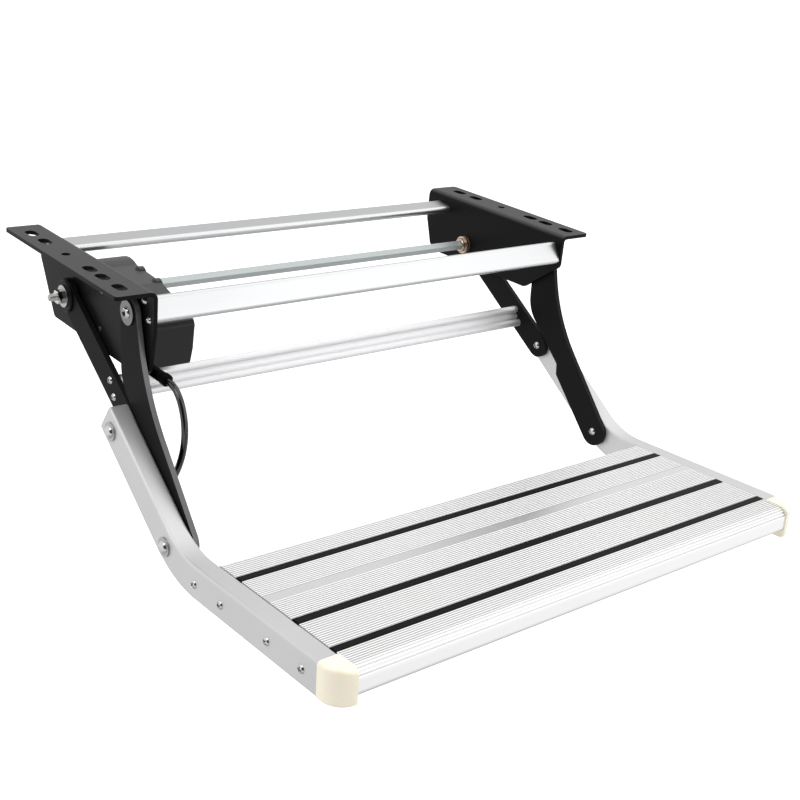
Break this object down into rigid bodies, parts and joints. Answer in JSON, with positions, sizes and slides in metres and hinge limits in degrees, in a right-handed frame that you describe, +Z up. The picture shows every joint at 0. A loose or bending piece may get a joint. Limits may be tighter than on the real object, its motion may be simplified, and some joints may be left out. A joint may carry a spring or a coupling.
{
  "type": "folding caravan entry step",
  "caption": "Motor-driven folding entry step: ribbed aluminium tread on bent side tubes, swung by steel link arms under two slotted floor brackets.",
  "frame": {"origin": "midway between the two round locating holes, in the top plane of the mounting flanges", "axes": "+X to the right seen from in front of the step, +Y towards the vehicle, +Z up"},
  "size_m": [0.615, 0.6007, 0.2443],
  "materials": {
    "black_coat": "fine-textured black powder coat",
    "anodised": "satin clear anodised extrusion",
    "zinc": "bright zinc plate",
    "bronze": "plain sintered bronze",
    "cast_alloy": "as-cast alloy",
    "black_plastic": "fine spark-eroded moulding",
    "black_rubber": "smooth black rubber",
    "ivory_plastic": "smooth ivory moulding",
    "lead_sheath": "glossy black flexible sheath"
  },
  "bodies": {
    "frame": {"left_bracket": "black_coat", "right_bracket": "black_coat", "front_crossbar": "anodised", "rear_crossbar": "anodised", "crossbar_screws": "zinc", "left_shaft_bush": "bronze", "right_shaft_bush": "bronze", "motor_cover": "black_plastic", "cover_screws": "zinc", "gear_case": "cast_alloy", "gear_case_bolts": "zinc", "motor_can": "zinc", "front_pivot_pins": "zinc", "front_pivot_spacers": "zinc", "front_pivot_washers": "zinc", "cable_boot": "black_rubber", "motor_lead": "lead_sheath", "lead_connector": "black_plastic"},
    "rear_arms": {"drive_shaft": "zinc", "drive_hub": "zinc", "left_rear_arm": "black_coat", "right_rear_arm": "black_coat", "rear_arm_brace": "anodised", "brace_screws": "zinc", "hub_collars": "black_coat", "shaft_washers": "zinc", "shaft_nuts": "zinc", "shaft_collar": "zinc"},
    "front_arms": {"left_front_arm": "black_coat", "right_front_arm": "black_coat", "front_joint_studs": "zinc"},
    "tread": {"tread_board": "anodised", "left_tread_arm": "anodised", "right_tread_arm": "anodised", "tread_arm_plugs": "anodised", "rear_grip_strip": "black_rubber", "middle_grip_strip": "black_rubber", "front_grip_strip": "black_rubber", "tread_screws": "zinc", "rear_joint_bolts": "zinc", "front_joint_bolts": "zinc", "joint_collars": "zinc", "left_nose_cap": "ivory_plastic", "right_nose_cap": "ivory_plastic"}
  },
  "joints": [
    {"name": "fold", "type": "hinge", "parent": "frame", "child": "rear_arms", "pos_m": [0, 0.0312, -0.054], "axis": [1, 0, 0], "range_deg": [0, 130], "deforming": ["motor_lead", "lead_connector"]},
    {"name": "tread_pivot", "type": "hinge", "parent": "rear_arms", "child": "tread", "pos_m": [0, -0.1114, -0.1439], "axis": [1, 0, 0], "range_deg": [-140, 0]},
    {"name": "front_arm_pivot", "type": "hinge", "parent": "frame", "child": "front_arms", "pos_m": [0, -0.1025, -0.0296], "axis": [1, 0, 0], "range_deg": [0, 87]}
  ],
  "couplings": [
    {"joint": "tread_pivot", "follows": "fold", "ratio": -1.0636},
    {"joint": "front_arm_pivot", "follows": "fold", "ratio": 0.65638}
  ]
}
